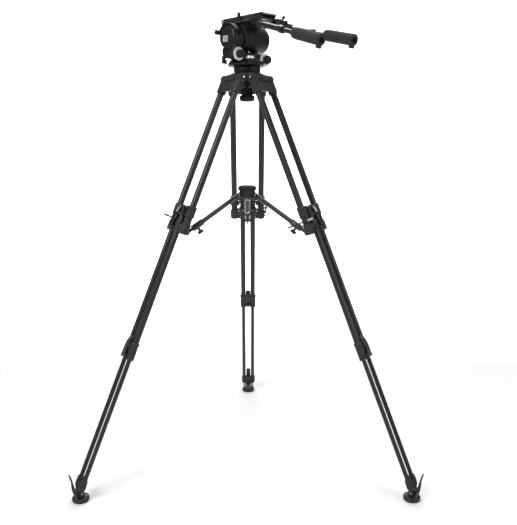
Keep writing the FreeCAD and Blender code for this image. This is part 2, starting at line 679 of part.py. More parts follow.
def export():
    """Recompute, check every object, then write one STEP file for each sub-part."""
    DOC.recompute()
    for item in DOC.Objects:
        if "Invalid" in item.State or "Error" in item.State:
            raise RuntimeError(f"{item.Label} did not compute: {item.State}")
    for item in PARTS:
        if item.Shape.isNull() or not item.Shape.isValid() or not item.Shape.Solids:
            raise RuntimeError(f"{item.Label} has no valid shape")
    os.makedirs("parts", exist_ok=True)
    for item in PARTS:
        item.Shape.exportStep(f"parts/{item.Label}.step")
        box = item.Shape.BoundBox
        print(f"{item.Label}: {len(item.Shape.Solids)} solids, {item.Shape.Volume / 1000:.1f} cm3,",
              f"z {box.ZMin:.1f} to {box.ZMax:.1f}")


build()
export()
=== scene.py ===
"""Looks of a video tripod with a fluid head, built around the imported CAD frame."""
import json
import math

import bmesh
import bpy
from mathutils import Matrix, Vector


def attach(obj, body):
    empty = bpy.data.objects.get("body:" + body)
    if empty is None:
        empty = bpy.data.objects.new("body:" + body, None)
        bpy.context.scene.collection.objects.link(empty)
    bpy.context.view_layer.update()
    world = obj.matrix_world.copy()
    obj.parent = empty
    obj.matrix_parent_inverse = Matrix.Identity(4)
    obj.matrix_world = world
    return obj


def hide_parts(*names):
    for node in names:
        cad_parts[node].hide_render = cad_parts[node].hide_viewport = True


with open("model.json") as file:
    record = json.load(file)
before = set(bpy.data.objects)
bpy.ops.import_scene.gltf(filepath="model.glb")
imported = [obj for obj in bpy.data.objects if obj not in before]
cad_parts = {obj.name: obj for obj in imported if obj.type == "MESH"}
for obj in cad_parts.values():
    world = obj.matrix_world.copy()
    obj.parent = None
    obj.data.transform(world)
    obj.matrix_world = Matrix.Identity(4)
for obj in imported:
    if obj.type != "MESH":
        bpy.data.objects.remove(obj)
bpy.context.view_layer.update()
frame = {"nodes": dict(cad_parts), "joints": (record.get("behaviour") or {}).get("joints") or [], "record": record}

MM = 0.001
LEGS = ("back", "left", "right")
JOINTS = {joint["name"]: joint for joint in frame["joints"]}
SLOTS = {row["node"]: row["material_slot"] for row in frame["record"]["subparts"]}
BODY_OF = {node: body for body, nodes in frame["record"]["behaviour"]["bodies"].items() for node in nodes}
SMOOTH_ANGLE = math.radians(34)

# Places on a leg, in its own frame in millimetres: half the gap between the tubes' axes, how far the
# lower tubes stand outward of the pivot, the levers' pins, and the bent bar beside the middle clamp.
UPPER_HALF_GAP = 56.45
LOWER_HALF_GAP = 21.7
LOWER_OFFSET = 9.3
MID_PIN_HEIGHT = -591
LOWER_PIN_HEIGHT = -1081
BAR_SIDE = -77
BAR_HEIGHT = -552
ARM_DIRECTION = {"back": 90, "left": 210, "right": 330}

# Head, in its own frame in millimetres.
TILT_AXIS_HEIGHT = 1640


# ---------------------------------------------------------------- local frames, all in millimetres

def placed(origin, x_axis, y_axis, z_axis):
    """Matrix from a local frame in millimetres to the CAD frame in metres."""
    turn = Matrix((x_axis, y_axis, z_axis)).transposed().to_4x4()
    return Matrix.Translation(origin) @ turn @ Matrix.Scale(MM, 4)


def leg_frame(leg):
    """Origin at the leg's pivot, +X outward, +Y along the pivot, +Z up the leg."""
    fold = JOINTS[f"{leg}_leg_fold"]
    y_axis = Vector(fold["axis"])
    z_axis = Vector(JOINTS[f"{leg}_middle_slide"]["axis"])
    return placed(Vector(fold["pos_m"]), y_axis.cross(z_axis), y_axis, z_axis)


def arm_frame(leg):
    """Origin at the leg's arm pin, +X along the arm to the hub, +Y along the pin."""
    turn = JOINTS[f"{leg}_arm_turn"]
    x_axis = Vector(JOINTS[f"{leg}_arm_slide"]["axis"])
    y_axis = -Vector(turn["axis"])
    return placed(Vector(turn["pos_m"]), x_axis, y_axis, x_axis.cross(y_axis))


def pad_frame(leg):
    """Origin on the floor under the pad's pin, +X outward, +Z up."""
    tilt = JOINTS[f"{leg}_pad_tilt"]
    y_axis = Vector(tilt["axis"])
    origin = Vector(tilt["pos_m"])
    origin.z = 0
    return placed(origin, y_axis.cross(Vector((0, 0, 1))), y_axis, Vector((0, 0, 1)))


def head_frame():
    """Origin on the floor under the pan axis, +X to the operator, +Y along the tilt axis."""
    origin = Vector(JOINTS["pan"]["pos_m"])
    origin.z = 0
    operator = Vector(JOINTS["plate_slide"]["axis"])
    return placed(origin, operator, Vector(JOINTS["tilt"]["axis"]), Vector((0, 0, 1)))


def centre_frame():
    """Origin on the floor under the pan axis, with the CAD frame's axes."""
    origin = Vector(JOINTS["pan"]["pos_m"])
    origin.z = 0
    return placed(origin, Vector((1, 0, 0)), Vector((0, 1, 0)), Vector((0, 0, 1)))


def turned_to(base, direction):
    """Local matrix that puts +Z along a direction from a base point."""
    turn = Vector((0, 0, 1)).rotation_difference(Vector(direction)).to_matrix().to_4x4()
    return Matrix.Translation(Vector(base)) @ turn


# ---------------------------------------------------------------- materials

class Shader:
    """A node material with a Principled shader and short ways to add nodes."""

    def __init__(self, name, roughness=0.5, metallic=0.0, coat=0.0, gloss=0.5):
        self.material = bpy.data.materials.new(name)
        self.material.use_nodes = True
        self.tree = self.material.node_tree
        self.bsdf = self.tree.nodes["Principled BSDF"]
        self.bsdf.inputs["Roughness"].default_value = roughness
        self.bsdf.inputs["Metallic"].default_value = metallic
        self.bsdf.inputs["Coat Weight"].default_value = coat
        self.bsdf.inputs["Specular IOR Level"].default_value = gloss

    def node(self, kind, **settings):
        item = self.tree.nodes.new(kind)
        for name, value in settings.items():
            setattr(item, name, value)
        return item

    def link(self, start, end):
        self.tree.links.new(start, end)

    def math(self, operation, first, second=0.0):
        item = self.node("ShaderNodeMath", operation=operation)
        for socket, value in zip(item.inputs, (first, second)):
            if isinstance(value, (int, float)):
                socket.default_value = value
            else:
                self.link(value, socket)
        return item.outputs[0]

    def coordinates(self, stretch=(1, 1, 1)):
        source = self.node("ShaderNodeTexCoord").outputs["Object"]
        mapping = self.node("ShaderNodeMapping")
        mapping.inputs["Scale"].default_value = stretch
        self.link(source, mapping.inputs["Vector"])
        return mapping.outputs["Vector"]

    def noise(self, scale, detail=3.0, stretch=(1, 1, 1)):
        item = self.node("ShaderNodeTexNoise")
        item.inputs["Scale"].default_value = scale
        item.inputs["Detail"].default_value = detail
        self.link(self.coordinates(stretch), item.inputs["Vector"])
        return item.outputs["Fac"]

    def ramp(self, factor, *stops):
        item = self.node("ShaderNodeValToRGB")
        ramp = item.color_ramp
        while len(ramp.elements) < len(stops):
            ramp.elements.new(0.5)
        for element, (position, colour) in zip(ramp.elements, stops):
            element.position = position
            element.color = (*colour, 1)
        self.link(factor, item.inputs["Fac"])
        return item.outputs["Color"]

    def mix(self, factor, first, second, blend="MIX"):
        item = self.node("ShaderNodeMix", data_type="RGBA", blend_type=blend)
        for socket, value in ((item.inputs[0], factor), (item.inputs[6], first), (item.inputs[7], second)):
            if isinstance(value, float):
                socket.default_value = value
            elif isinstance(value, tuple):
                socket.default_value = (*value, 1)
            else:
                self.link(value, socket)
        return item.outputs[2]

    def rough(self, factor, low, high):
        item = self.node("ShaderNodeMapRange")
        item.inputs["To Min"].default_value = low
        item.inputs["To Max"].default_value = high
        self.link(factor, item.inputs["Value"])
        self.link(item.outputs[0], self.bsdf.inputs["Roughness"])

    def bump(self, height, distance, strength=1.0):
        item = self.node("ShaderNodeBump")
        item.inputs["Strength"].default_value = strength
        item.inputs["Distance"].default_value = distance
        self.link(height, item.inputs["Height"])
        self.link(item.outputs["Normal"], self.bsdf.inputs["Normal"])

    def colour(self, value):
        self.link(value, self.bsdf.inputs["Base Color"])


def grained(name, colour, spread=0.25, grain=900, height=0.00012, roughness=(0.45, 0.6), metallic=0.0,
            coat=0.0, wear=0.0, gloss=0.25):
    """Painted, moulded or cast surface: fine grain, faint patches and lighter worn edges."""
    shader = Shader(name, metallic=metallic, coat=coat, gloss=gloss)
    fine = shader.noise(grain, 2)
    patch = shader.noise(35, 4)
    low = tuple(channel * (1 - spread) for channel in colour)
    high = tuple(channel * (1 + spread) for channel in colour)
    base = shader.ramp(patch, (0.3, low), (0.7, high))
    speck = shader.ramp(fine, (0.35, (0.75, 0.75, 0.75)), (0.68, (1, 1, 1)))
    base = shader.mix(0.6, base, speck, "MULTIPLY")
    if wear:
        edge = shader.ramp(shader.node("ShaderNodeNewGeometry").outputs["Pointiness"],
                           (0.53, (0, 0, 0)), (0.62, (wear, wear, wear)))
        base = shader.mix(1.0, base, edge, "ADD")
    shader.colour(base)
    shader.rough(fine, *roughness)
    shader.bump(fine, height)
    return shader.material


def carbon():
    """Twill carbon tube under satin lacquer; reads the tube's own around and along coordinates."""
    shader = Shader("carbon_twill", coat=0.16, gloss=0.25)
    shader.bsdf.inputs["Coat Roughness"].default_value = 0.18
    tow = 0.0026
    place = shader.node("ShaderNodeAttribute", attribute_name="tube_place")
    split = shader.node("ShaderNodeSeparateXYZ")
    shader.link(place.outputs["Vector"], split.inputs[0])
    across = shader.math("DIVIDE", split.outputs["X"], tow)
    along = shader.math("DIVIDE", split.outputs["Y"], tow)
    steps = shader.math("ADD", shader.math("FLOOR", across), shader.math("FLOOR", along))
    over = shader.math("LESS_THAN", shader.math("MODULO", shader.math("ADD", steps, 4000.0), 4.0), 2.0)
    fibre = shader.node("ShaderNodeMix", data_type="FLOAT")
    strands = [shader.math("SINE", shader.math("MULTIPLY", way, 18.0)) for way in (across, along)]
    shader.link(over, fibre.inputs[0])
    shader.link(strands[0], fibre.inputs[2])
    shader.link(strands[1], fibre.inputs[3])
    weave = shader.mix(over, (0.013, 0.0135, 0.014), (0.021, 0.022, 0.0235))
    patch = shader.ramp(shader.noise(22, 3), (0.3, (0.8, 0.8, 0.8)), (0.7, (1.1, 1.1, 1.1)))
    shader.colour(shader.mix(1.0, weave, patch, "MULTIPLY"))
    shader.rough(over, 0.33, 0.5)
    height = shader.math("ADD", shader.math("MULTIPLY", over, 0.7),
                         shader.math("MULTIPLY", fibre.outputs[0], 0.15))
    shader.bump(height, 0.00008)
    return shader.material


def brushed(name, colour, roughness=(0.22, 0.4), stretch=(1, 1, 14), metallic=1.0):
    """Metal with fine drawn lines."""
    shader = Shader(name, metallic=metallic)
    lines = shader.noise(260, 5, stretch)
    low = tuple(channel * 0.8 for channel in colour)
    shader.colour(shader.ramp(lines, (0.3, low), (0.7, colour)))
    shader.rough(lines, *roughness)
    shader.bump(lines, 0.00003)
    return shader.material


def foam(name, colour):
    """Closed-cell foam rubber with fine pores; painted shade darkens each pore towards its centre."""
    shader = Shader(name, gloss=0.2)
    shader.bsdf.inputs["Sheen Weight"].default_value = 0.06
    pores = shader.node("ShaderNodeTexVoronoi")
    pores.inputs["Scale"].default_value = 620
    shader.link(shader.coordinates(), pores.inputs["Vector"])
    # Painted shade: the colour darkens towards each pore's centre, where the bump presses in, in place of real
    # shade in the pores.
    depth = shader.ramp(pores.outputs["Distance"], (0.05, (0.35, 0.35, 0.35)), (0.45, (1, 1, 1)))
    low = tuple(channel * 0.85 for channel in colour)
    high = tuple(channel * 1.15 for channel in colour)
    patch = shader.ramp(shader.noise(40, 4), (0.3, low), (0.7, high))
    shader.colour(shader.mix(0.7, patch, depth, "MULTIPLY"))
    shader.rough(pores.outputs["Distance"], 0.9, 0.68)
    shader.bump(pores.outputs["Distance"], 0.00025)
    return shader.material


def vial():
    """Tinted spirit in the bubble level's dome."""
    shader = Shader("level_vial", roughness=0.06)
    shader.bsdf.inputs["Coat Weight"].default_value = 1.0
    shader.bsdf.inputs["Transmission Weight"].default_value = 0.25
    shader.colour(shader.ramp(shader.noise(90, 2), (0.3, (0.5, 0.72, 0.12)), (0.7, (0.62, 0.82, 0.2))))
    return shader.material


MATERIALS = {
    "carbon": carbon(),
    "pad_rubber": grained("pad_rubber", (0.01, 0.01, 0.011), roughness=(0.42, 0.58), grain=700, gloss=0.4),
    "grip_rubber": foam("grip_foam", (0.022, 0.0235, 0.025)),
    "grey_plastic": grained("grey_plastic", (0.05, 0.051, 0.053), roughness=(0.38, 0.52), grain=1100,
                            height=0.00006),
    "steel": brushed("drawn_steel", (0.6, 0.6, 0.58)),
    "arm_coating": grained("arm_coating", (0.011, 0.0115, 0.0125), roughness=(0.3, 0.42), coat=0.25,
                           wear=0.02),
    "black_anodised": grained("black_anodised", (0.01, 0.0105, 0.012), roughness=(0.32, 0.44), metallic=0.4,
                              wear=0.03),
    "bar_finish": grained("gloss_black_bar", (0.01, 0.01, 0.011), roughness=(0.16, 0.26), coat=0.3,
                          height=0.00003, gloss=0.4),
    "orange_plastic": grained("orange_plastic", (0.8, 0.2, 0.02), roughness=(0.25, 0.35), height=0.00004,
                              spread=0.08),
    "bright_ring": brushed("turned_aluminium", (0.8, 0.8, 0.81), (0.18, 0.3), metallic=0.45),
    "black_plastic": grained("black_plastic", (0.01, 0.01, 0.011), roughness=(0.4, 0.55), height=0.00008),
    "head_black": grained("head_black", (0.006, 0.0065, 0.0075), roughness=(0.36, 0.5), height=0.00009,
                          wear=0.025),
    "casting": grained("cast_grey", (0.021, 0.022, 0.024), roughness=(0.45, 0.62), height=0.00018, wear=0.03),
    "level_vial": vial(),
    "label": brushed("label_silver", (0.5, 0.51, 0.53), (0.3, 0.42), metallic=0.5),
    "red_dot": grained("red_enamel", (0.6, 0.02, 0.02), roughness=(0.2, 0.3), height=0.00002, spread=0.1),
}


# ---------------------------------------------------------------- mesh code

def finished(mesh_data):
    """Mark edges sharp or smooth by their angle and shade every face smooth."""
    for face in mesh_data.faces:
        face.smooth = True
    for edge in mesh_data.edges:
        edge.smooth = edge.calc_face_angle(math.pi) < SMOOTH_ANGLE


def piece(name, mesh_data, place, body, slot, material=None, replaces=None):
    """Make an object of a local mesh, give it a finish and let it ride on its body."""
    bmesh.ops.transform(mesh_data, matrix=place, verts=mesh_data.verts)
    bmesh.ops.recalc_face_normals(mesh_data, faces=mesh_data.faces)
    finished(mesh_data)
    mesh = bpy.data.meshes.new(name)
    mesh_data.to_mesh(mesh)
    mesh_data.free()
    mesh.materials.append(MATERIALS[material or slot])
    item = bpy.data.objects.new(name, mesh)
    bpy.context.scene.collection.objects.link(item)
    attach(item, body)
    if replaces:
        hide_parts(replaces)
    return item


def lathe(profile, steps=56, flutes=0, depth=0.0, span=None, into=None, place=None):
    """Closed surface turned about +Z from (radius, height) points; flutes press in its side."""
    mesh_data = into or bmesh.new()
    place = place or Matrix.Identity(4)
    rings = []
    for radius, height in profile:
        if radius < 1e-6:
            rings.append([mesh_data.verts.new(place @ Vector((0, 0, height)))])
            continue
        ring = []
        for step in range(steps):
            angle = 2 * math.pi * step / steps
            reach = radius
            if flutes and span[0] <= height <= span[1]:
                reach -= depth * (0.5 + 0.5 * math.cos(flutes * angle)) ** 2
            spot = Vector((reach * math.cos(angle), reach * math.sin(angle), height))
            ring.append(mesh_data.verts.new(place @ spot))
        rings.append(ring)
    pairs = list(zip(rings, rings[1:]))
    if len(rings[0]) > 1:
        pairs.append((rings[-1], rings[0]))
    for low, high in pairs:
        for step in range(steps):
            after = (step + 1) % steps
            if len(low) == 1 and len(high) == 1:
                break
            if len(low) == 1:
                mesh_data.faces.new((low[0], high[step], high[after]))
            elif len(high) == 1:
                mesh_data.faces.new((low[step], low[after], high[0]))
            else:
                mesh_data.faces.new((low[step], low[after], high[after], high[step]))
    return mesh_data


def slab(outline, low, high, bevel=0.6, into=None, place=None):
    """Plate with a rounded rim: an outline in XY between two heights."""
    mesh_data = bmesh.new()
    bottom = [mesh_data.verts.new((x, y, low)) for x, y in outline]
    top = [mesh_data.verts.new((x, y, high)) for x, y in outline]
    count = len(outline)
    mesh_data.faces.new(list(reversed(bottom)))
    mesh_data.faces.new(top)
    for index in range(count):
        after = (index + 1) % count
        mesh_data.faces.new((bottom[index], bottom[after], top[after], top[index]))
    soften(mesh_data, bevel, 2)
    if place:
        bmesh.ops.transform(mesh_data, matrix=place, verts=mesh_data.verts)
    return joined(into, mesh_data)


def joined(into, mesh_data):
    """Add one mesh to another."""
    if into is None:
        return mesh_data
    temporary = bpy.data.meshes.new("temporary")
    mesh_data.to_mesh(temporary)
    mesh_data.free()
    into.from_mesh(temporary)
    bpy.data.meshes.remove(temporary)
    return into


def soften(mesh_data, width, segments=2, angle=math.radians(32)):
    """Round every edge that is sharper than an angle."""
    bmesh.ops.recalc_face_normals(mesh_data, faces=mesh_data.faces)
    edges = [edge for edge in mesh_data.edges if edge.is_manifold and edge.calc_face_angle(0) > angle]
    if edges and width:
        bmesh.ops.bevel(mesh_data, geom=edges, offset=width, segments=segments, profile=0.6, affect="EDGES",
                        clamp_overlap=True)


def rounded_box(low, high, bevel=1.0, into=None, place=None):
    """Box between two corners with rounded edges."""
    outline = [(low[0], low[1]), (high[0], low[1]), (high[0], high[1]), (low[0], high[1])]
    return slab(outline, low[2], high[2], bevel, into, place)


def swept(points, radius, steps=16, into=None):
    """Round bar along a path, closed at both ends."""
    mesh_data = into or bmesh.new()
    path = [Vector(point) for point in points]
    side = None
    rings = []
    for index, point in enumerate(path):
        ahead = (path[min(index + 1, len(path) - 1)] - path[max(index - 1, 0)]).normalized()
        if side is None:
            side = ahead.orthogonal().normalized()
        side = (side - ahead * side.dot(ahead)).normalized()
        other = ahead.cross(side)
        rings.append([mesh_data.verts.new(point + radius * (side * math.cos(2 * math.pi * step / steps)
                                                            + other * math.sin(2 * math.pi * step / steps)))
                      for step in range(steps)])
    for low, high in zip(rings, rings[1:]):
        for step in range(steps):
            after = (step + 1) % steps
            mesh_data.faces.new((low[step], low[after], high[after], high[step]))
    mesh_data.faces.new(list(reversed(rings[0])))
    mesh_data.faces.new(rings[-1])
    return mesh_data


def smooth_path(points, steps=8):
    """Catmull-Rom curve through a few points."""
    path = [Vector(point) for point in points]
    path = [2 * path[0] - path[1]] + path + [2 * path[-1] - path[-2]]
    curve = []
    for index in range(1, len(path) - 2):
        first, start, end, last = path[index - 1:index + 3]
        for step in range(steps):
            part = step / steps
            square = (2 * first - 5 * start + 4 * end - last) * part ** 2
            cube = (3 * start - first - 3 * end + last) * part ** 3
            curve.append(0.5 * (2 * start + (end - first) * part + square + cube))
    curve.append(path[-2])
    return curve


def ribbon(line, half):
    """XZ outline of a strip that follows a line, half its width to each side in X."""
    return ([(point.x + half, point.z) for point in line]
            + [(point.x - half, point.z) for point in reversed(line)])


def screw_head(base, direction, radius=3.0, height=2.0, into=None):
    """Screw head: a chamfered rim round a sunk centre."""
    profile = [(0, 0.2), (radius * 0.45, 0.2), (radius * 0.5, height), (radius * 0.85, height),
               (radius, height * 0.75), (radius, -0.4), (0, -0.4)]
    return lathe(profile, 24, into=into, place=turned_to(base, direction))


def refined(node, width=0.8, material=None):
    """Stand-in of a CAD node with its sharp edges rounded."""
    mesh_data = bmesh.new()
    mesh_data.from_mesh(frame["nodes"][node].data)
    bmesh.ops.remove_doubles(mesh_data, verts=mesh_data.verts, dist=0.00001)
    bmesh.ops.dissolve_limit(mesh_data, angle_limit=math.radians(0.8), verts=mesh_data.verts,
                             edges=mesh_data.edges)
    soften(mesh_data, width * MM, 2)
    return piece(f"{node}_rounded", mesh_data, Matrix.Identity(4), BODY_OF[node], SLOTS[node], material,
                 node)


# Outlines drawn in a frame's XZ and YZ planes, and a lathe's axis laid along +X.
UPRIGHT = Matrix.Rotation(math.pi / 2, 4, "X")
ALONG_X = Matrix.Rotation(math.pi / 2, 4, "Y")
SIDEWAYS = Matrix(((0, 0, 1, 0), (1, 0, 0, 0), (0, 1, 0, 0), (0, 0, 0, 1)))


# ---------------------------------------------------------------- legs

def tube_pair(leg, node, spread, offset, radius, top, bottom):
    """Two carbon tubes that carry their around and along places for the weave."""
    mesh_data = bmesh.new()
    wall = 1.3
    rim = 0.3
    steps = 48
    for side in (-1, 1):
        profile = [(radius, -bottom + rim), (radius, -(top + bottom) / 2), (radius, -top - rim),
                   (radius - rim, -top), (radius - wall, -top), (radius - wall, -bottom),
                   (radius - rim, -bottom)]
        lathe(profile, steps, into=mesh_data, place=Matrix.Translation((offset, side * spread, 0)))
    place = leg_frame(leg)
    item = piece(f"{node}_weave", mesh_data, place, BODY_OF[node], "carbon", replaces=node)
    back = place.inverted()
    attribute = item.data.attributes.new("tube_place", "FLOAT_VECTOR", "CORNER")
    for face in item.data.polygons:
        middle = back @ face.center
        side = math.copysign(spread, middle.y)
        start = math.atan2(middle.y - side, middle.x - offset)
        for index in face.loop_indices:
            spot = back @ item.data.vertices[item.data.loops[index].vertex_index].co
            angle = math.atan2(spot.y - side, spot.x - offset)
            angle = start + math.remainder(angle - start, 2 * math.pi)
            attribute.data[index].vector = (angle * radius * MM, spot.z * MM, 0)


def leg_tubes(leg):
    """Three telescoping pairs, each with its radius and how far its ends are down the leg."""
    tube_pair(leg, f"{leg}_upper_tubes", UPPER_HALF_GAP, 0, 12, 12, 597.9)
    tube_pair(leg, f"{leg}_middle_tubes", LOWER_HALF_GAP, LOWER_OFFSET, 11, 503, 1081.9)
    tube_pair(leg, f"{leg}_lower_tubes", LOWER_HALF_GAP, LOWER_OFFSET, 8, 1044, 1565.9)


def leg_castings(leg):
    """Yoke and spreader parts, straight from the CAD with rounded edges."""
    refined(f"{leg}_leg_yoke", 1.6)
    refined(f"{leg}_spreader_rod", 0.3, "black_anodised")
    refined(f"{leg}_spreader_arm", 0.7)


def bow_lever(leg, stage, outer, inner, pin_height, half):
    """Bowed lever strip with a raised spine and a boss round its pin."""
    place = leg_frame(leg)
    node = f"{leg}_{stage}_lever"
    outline = smooth_path([(x, z, 0) for x, z in outer], 6) + smooth_path([(x, z, 0) for x, z in inner], 6)
    lever = slab([(point.x, point.y) for point in outline], -half, half, 1.4, None, UPRIGHT)
    boss = [(4.6 * math.cos(turn), pin_height + 4.6 * math.sin(turn))
            for turn in [math.pi * step / 10 for step in range(20)]]
    slab([(30 + x, z) for x, z in boss], -half, half, 0.5, lever, UPRIGHT)
    spine = smooth_path([(x + 0.9, 0, z) for x, z in outer[1:-1]], 6)
    swept(spine, 1.6, 10, lever)
    piece(f"{node}_bow", lever, place, BODY_OF[node], SLOTS[node], replaces=node)


def middle_casting(leg):
    """Middle clamp: collared barrels, an open frame, the arm bracket, the lever's ears and the cross bar."""
    place = leg_frame(leg)
    body = bmesh.new()
    for side in (-1, 1):
        barrel = [(12.06, -497), (15.8, -497), (16.9, -498), (16.9, -506), (16.3, -507), (16.3, -529),
                  (16.9, -530), (16.9, -535), (15.6, -537), (13.4, -538), (13.4, -560), (15.4, -563),
                  (16.8, -566), (16.8, -594), (15.8, -598), (13, -600), (0, -600), (0, -598.2),
                  (12.06, -598.2)]
        lathe(barrel, 64, into=body, place=Matrix.Translation((0, side * UPPER_HALF_GAP, 0)))
        guide = [(11.07, -556), (14.6, -556), (15.4, -557), (15.4, -590), (15.9, -591), (15.9, -598),
                 (14.8, -600), (11.07, -600)]
        lathe(guide, 56, into=body, place=Matrix.Translation((LOWER_OFFSET, side * LOWER_HALF_GAP, 0)))
        rounded_box((-7, side * 39 - 5.5, -600), (13, side * 39 + 5.5, -566), 1.2, body)
        rounded_box((-7, side * 39 - 5.2, -536), (15, side * 39 + 5.2, -530), 1.0, body)
        rounded_box((-7, side * 39 - 5.2, -512), (15, side * 39 + 5.2, -498), 1.2, body)
        rounded_box((9, side * 35.4 - 1.5, -536), (23, side * 35.4 + 1.5, -503), 0.8, body)
        rounded_box((21, side * 14 - 1.4, -538), (24.2, side * 14 + 1.4, -503), 0.7, body)
        rounded_box((14, side * 11 - 2, -599), (33.5, side * 11 + 2, -584), 1.4, body)
        bracket = [(-5, -574), (-26, -577), (-41, -581.5), (-46, -586.5), (-46.5, -592), (-43, -598),
                   (-36, -600.6), (-5, -602)]
        slab(bracket, side * 8.8 - 2.4, side * 8.8 + 2.4, 1.0, body, UPRIGHT)
    rounded_box((-9, -44, -512), (-2.6, 44, -498), 1.2, body)
    rounded_box((-9, -45, -600), (-2.6, 45, -552), 1.4, body)
    rounded_box((-9, -4.5, -556), (-3, 4.5, -506), 1.0, body)
    rounded_box((20.9, -41, -509), (24.6, 41, -499), 1.4, body)
    rounded_box((20.9, -41, -538.5), (24.6, 41, -531), 1.4, body)
    rounded_box((20.5, -13, -600), (25.4, 13, -580), 1.4, body)
    swept([(30, -13.5, MID_PIN_HEIGHT), (30, 13.5, MID_PIN_HEIGHT)], 2.5, 20, body)
    swept([(-40, -12, -590), (-40, 12, -590)], 3, 20, body)
    swept([(0, -70, BAR_HEIGHT), (0, -86, BAR_HEIGHT)], 4.4, 20, body)
    reach = [(28, -77, -552), (6, -79, -552), (-22, -83, -552.2), (-59, -90.3, -552.3)]
    if leg == "back":
        reach = [(28, -77, -552), (6, -77, -553), (-14, -76, -556), (-26, -75, -560)]
    swept(smooth_path(reach, 5), 3, 16, body)
    piece(f"{leg}_mid_clamp_body", body, place, f"{leg}_leg", "casting", replaces=f"{leg}_mid_clamp")
    if leg == "back":
        ring = [(-30 + 3 * math.sin(turn), -80 + 9.5 * math.cos(turn), -566 + 6.5 * math.sin(turn))
                for turn in [math.pi * step / 16 for step in range(33)]]
        piece("back_bar_ring", swept(ring, 1.9, 12), place, "back_leg", "steel", "black_anodised")


def lower_casting(leg):
    """Lower clamp: two collared barrels, a web, the lever's ears and its pin."""
    place = leg_frame(leg)
    body = bmesh.new()
    for side in (-1, 1):
        barrel = [(11.1, -1026), (14.6, -1026), (15.6, -1027), (15.6, -1033), (14.4, -1034.5), (13.6, -1036),
                  (13.6, -1058), (14.5, -1059.5), (14.5, -1063), (13.6, -1064.5), (13.8, -1084),
                  (14.4, -1086), (14.4, -1089), (13.4, -1090), (8.2, -1090), (8.2, -1083), (11.1, -1081)]
        lathe(barrel, 56, into=body, place=Matrix.Translation((LOWER_OFFSET, side * LOWER_HALF_GAP, 0)))
        rounded_box((14, side * 12.6 - 2, -1089), (33.5, side * 12.6 + 2, -1073.5), 1.4, body)
        rounded_box((16, side * 9 - 1.2, -1072), (20.6, side * 9 + 1.2, -1030), 0.8, body)
    rounded_box((0.5, -21, -1089.5), (18, 21, -1076), 1.6, body)
    rounded_box((0.5, -21, -1064), (18, 21, -1024), 1.6, body)
    rounded_box((3, -8, -1078), (17, -4.5, -1062), 0.8, body)
    rounded_box((3, 4.5, -1078), (17, 8, -1062), 0.8, body)
    swept([(30, -15.4, LOWER_PIN_HEIGHT), (30, 15.4, LOWER_PIN_HEIGHT)], 2.5, 20, body)
    piece(f"{leg}_lower_clamp_body", body, place, f"{leg}_middle_stage", "casting",
          replaces=f"{leg}_lower_clamp")


def foot_casting(leg):
    """Foot: two tube sockets, a tapering body with ribs, and the ankle round the pad's pin."""
    place = leg_frame(leg)
    body = bmesh.new()
    for side in (-1, 1):
        socket = [(8.05, -1548), (10.8, -1548), (11.8, -1549), (12, -1556), (11.9, -1580), (10.6, -1586),
                  (7, -1589), (0, -1589), (0, -1566), (8.05, -1566)]
        lathe(socket, 48, into=body, place=Matrix.Translation((LOWER_OFFSET, side * LOWER_HALF_GAP, 0)))
        rib = [(side * 9, -1557), (side * 12, -1557), (side * 8, -1594), (side * 5, -1594)]
        slab(rib, -2.4, 21, 1.0, body, SIDEWAYS)
    outline = [(-30, -1556), (-26, -1552), (-10, -1560), (10, -1560), (26, -1552), (30, -1556), (32.4, -1564),
               (32, -1578), (24, -1586), (12, -1591), (10.9, -1602), (8, -1606.5), (-8, -1606.5),
               (-10.9, -1602), (-12, -1591), (-24, -1586), (-32, -1578), (-32.4, -1564)]
    slab(outline, -0.7, 19.3, 2.6, body, SIDEWAYS)
    heel = [(9 * math.cos(turn), -1600 + 9 * math.sin(turn))
            for turn in [math.pi * step / 14 for step in range(28)]]
    slab(heel, -11, 11, 0.8, body, UPRIGHT)
    piece(f"{leg}_foot_casting", body, place, f"{leg}_lower_stage", "casting", replaces=f"{leg}_foot")


def leg_levers(leg):
    """Both bowed levers, and the grey tongue under the lower one."""
    bow_lever(leg, "mid",
              [(26, -503), (32, -506), (35.6, -525), (36.4, -552), (35.4, -578), (32, -597)],
              [(24, -597), (25.5, -586), (30.8, -572), (32, -550), (31, -528), (23, -508)],
              MID_PIN_HEIGHT, 8.6)
    bow_lever(leg, "lower",
              [(18, -1006), (25, -1011), (31.5, -1028), (34.4, -1048), (34.6, -1068), (33, -1086)],
              [(26, -1087), (27, -1074), (30.4, -1060), (30, -1042), (26, -1026), (19.5, -1011)],
              LOWER_PIN_HEIGHT, 10)
    tongue = bmesh.new()
    outline = [(22.4 + 3.2 * math.cos(turn) + 1.6 * math.sin(turn), -1034 + 13 * math.sin(turn))
               for turn in [math.pi * step / 14 for step in range(28)]]
    slab(outline, -8, 8, 1.2, tongue, UPRIGHT)
    piece(f"{leg}_lever_tongue", tongue, leg_frame(leg), f"{leg}_middle_stage", "casting", "grey_plastic")


